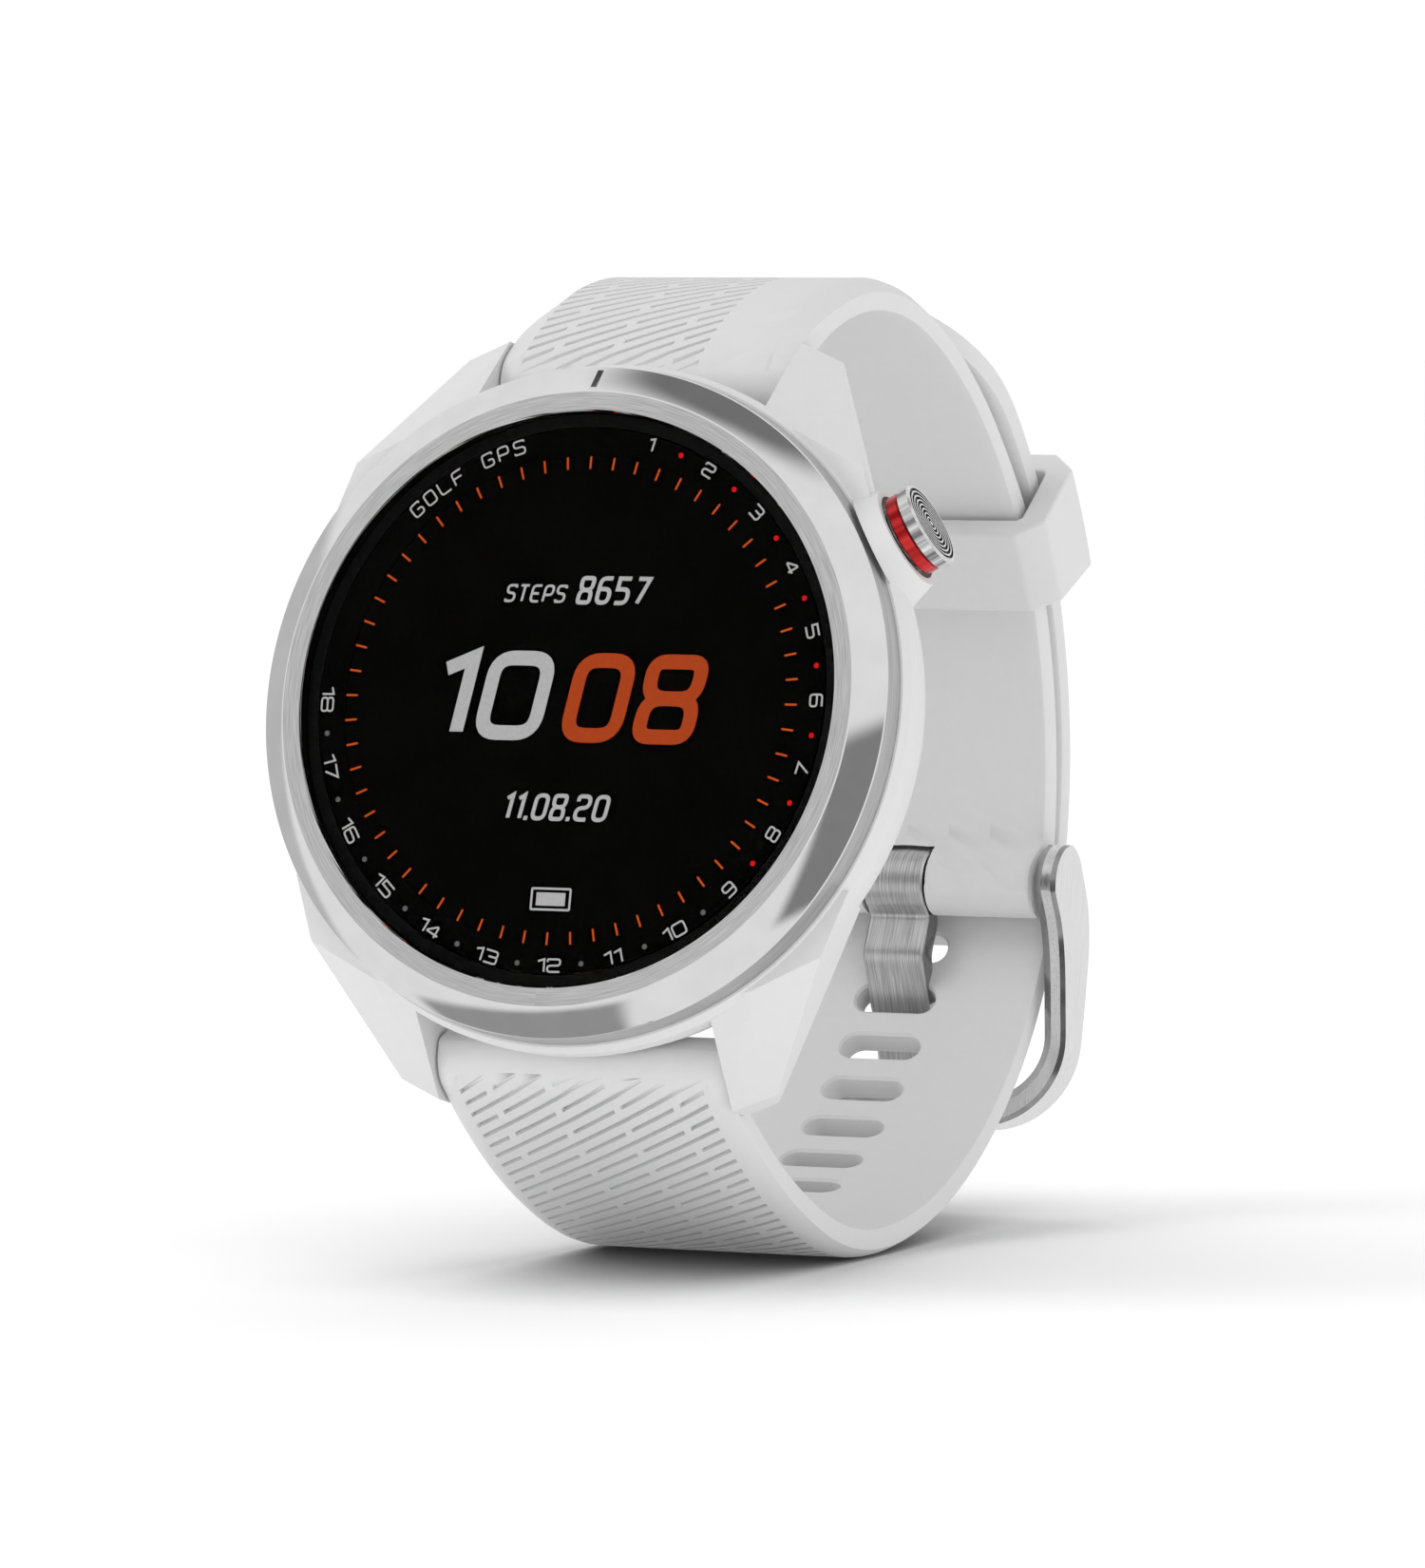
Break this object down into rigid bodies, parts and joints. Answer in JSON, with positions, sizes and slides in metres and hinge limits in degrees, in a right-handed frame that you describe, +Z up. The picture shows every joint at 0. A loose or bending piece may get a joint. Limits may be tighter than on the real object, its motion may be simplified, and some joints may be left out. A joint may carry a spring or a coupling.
{
  "type": "golf gps watch",
  "caption": "Round white sports watch with brushed bezel ring, glass over a dark dial, side push button, faceted lugs and a closed silicone band with pin buckle and keeper.",
  "frame": {"origin": "centre of the flat face of the case back", "axes": "+X towards 3 o'clock, +Z up, the watch leans back 12.5 degrees so 12 o'clock is up and towards +Y, +Y from the case towards the wrist"},
  "size_m": [0.044, 0.064, 0.0624],
  "materials": {
    "white_polymer": "moulded, fine matte",
    "white_silicone": "satin",
    "bezel_steel": "brushed ring and polished chamfer",
    "brushed_steel": "fine lengthwise brushing",
    "polished_steel": "polished",
    "red_anodised": "anodised gloss",
    "cover_glass": "clear, polished bevel",
    "touch_film": "clear film",
    "black_print": "printed behind glass",
    "display_glass": "dark display",
    "black_rubber": "satin",
    "dark_polymer": "moulded, fine matte",
    "green_laminate": "solder mask",
    "amber_film": "film",
    "gold_plate": "plated",
    "battery_foil": "laminated foil"
  },
  "bodies": {
    "case": {"case_body": "white_polymer", "bezel_ring": "bezel_steel", "lens": "cover_glass", "lens_gasket": "black_rubber", "dial_mask": "black_print", "touch_layer": "touch_film", "display_panel": "display_glass", "display_frame": "dark_polymer", "display_flex": "amber_film", "gps_antenna": "gold_plate", "main_board": "green_laminate", "board_components": "dark_polymer", "board_screws": "brushed_steel", "battery": "battery_foil", "vibration_motor": "brushed_steel", "button_switch": "dark_polymer", "button_sleeve": "polished_steel", "button_oring": "black_rubber", "button_spring": "polished_steel", "case_gasket": "black_rubber", "case_back": "dark_polymer", "back_screws": "brushed_steel", "contact_carrier": "dark_polymer", "charging_pins": "gold_plate"},
    "button": {"button_cap": "polished_steel", "button_collar": "red_anodised", "button_stem": "polished_steel", "button_clip": "polished_steel"},
    "upper_band": {"upper_strap": "white_silicone", "upper_bar_tube": "polished_steel", "upper_bar_tip": "polished_steel", "upper_bar_spring": "polished_steel", "buckle_pin": "polished_steel"},
    "upper_release": {"upper_bar_lever": "polished_steel"},
    "lower_band": {"lower_strap": "white_silicone", "lower_bar_tube": "polished_steel", "lower_bar_tip": "polished_steel", "lower_bar_spring": "polished_steel"},
    "lower_release": {"lower_bar_lever": "polished_steel"},
    "keeper": {"keeper": "white_silicone"},
    "buckle_frame": {"buckle_frame": "polished_steel"},
    "buckle_tongue": {"buckle_tongue": "brushed_steel"}
  },
  "joints": [
    {"name": "button_press", "type": "slide", "parent": "case", "child": "button", "axis": [-0.866, -0.1082, -0.4881], "range_m": [0, 0.0007], "stiffness_N_per_m": 1500, "springref_m": -0.0005, "deforming": ["button_spring"]},
    {"name": "upper_strap_swing", "type": "hinge", "parent": "case", "child": "upper_band", "pos_m": [0, 0.00251, 0.02172], "axis": [1, 0, 0], "range_deg": [-4, 4], "stiffness_Nm_per_rad": 1},
    {"name": "lower_strap_swing", "type": "hinge", "parent": "case", "child": "lower_band", "pos_m": [0, -0.0069, -0.02075], "axis": [1, 0, 0], "range_deg": [-3.4, 3.4], "deforming": ["lower_strap"]},
    {"name": "upper_release_slide", "type": "slide", "parent": "upper_band", "child": "upper_release", "axis": [-1, 0, 0], "range_m": [0, 0.0013], "stiffness_N_per_m": 900, "springref_m": -0.0008, "deforming": ["upper_bar_spring"]},
    {"name": "lower_release_slide", "type": "slide", "parent": "lower_band", "child": "lower_release", "axis": [-1, 0, 0], "range_m": [0, 0.0013], "stiffness_N_per_m": 900, "springref_m": -0.0008, "deforming": ["lower_bar_spring"]},
    {"name": "keeper_slide", "type": "hinge", "parent": "upper_band", "child": "keeper", "pos_m": [0, 0.01358, -0.00465], "axis": [1, 0, 0], "range_deg": [-21, 9]},
    {"name": "buckle_frame_pivot", "type": "hinge", "parent": "upper_band", "child": "buckle_frame", "pos_m": [0, 0.04271, -0.01213], "axis": [1, 0, 0], "range_deg": [0, 3]},
    {"name": "buckle_tongue_pivot", "type": "hinge", "parent": "upper_band", "child": "buckle_tongue", "pos_m": [0, 0.04271, -0.01213], "axis": [1, 0, 0], "range_deg": [0, 3]}
  ],
  "couplings": [
    {"joint": "lower_strap_swing", "follows": "upper_strap_swing", "ratio": 0.82},
    {"joint": "buckle_tongue_pivot", "follows": "buckle_frame_pivot", "ratio": 1}
  ]
}
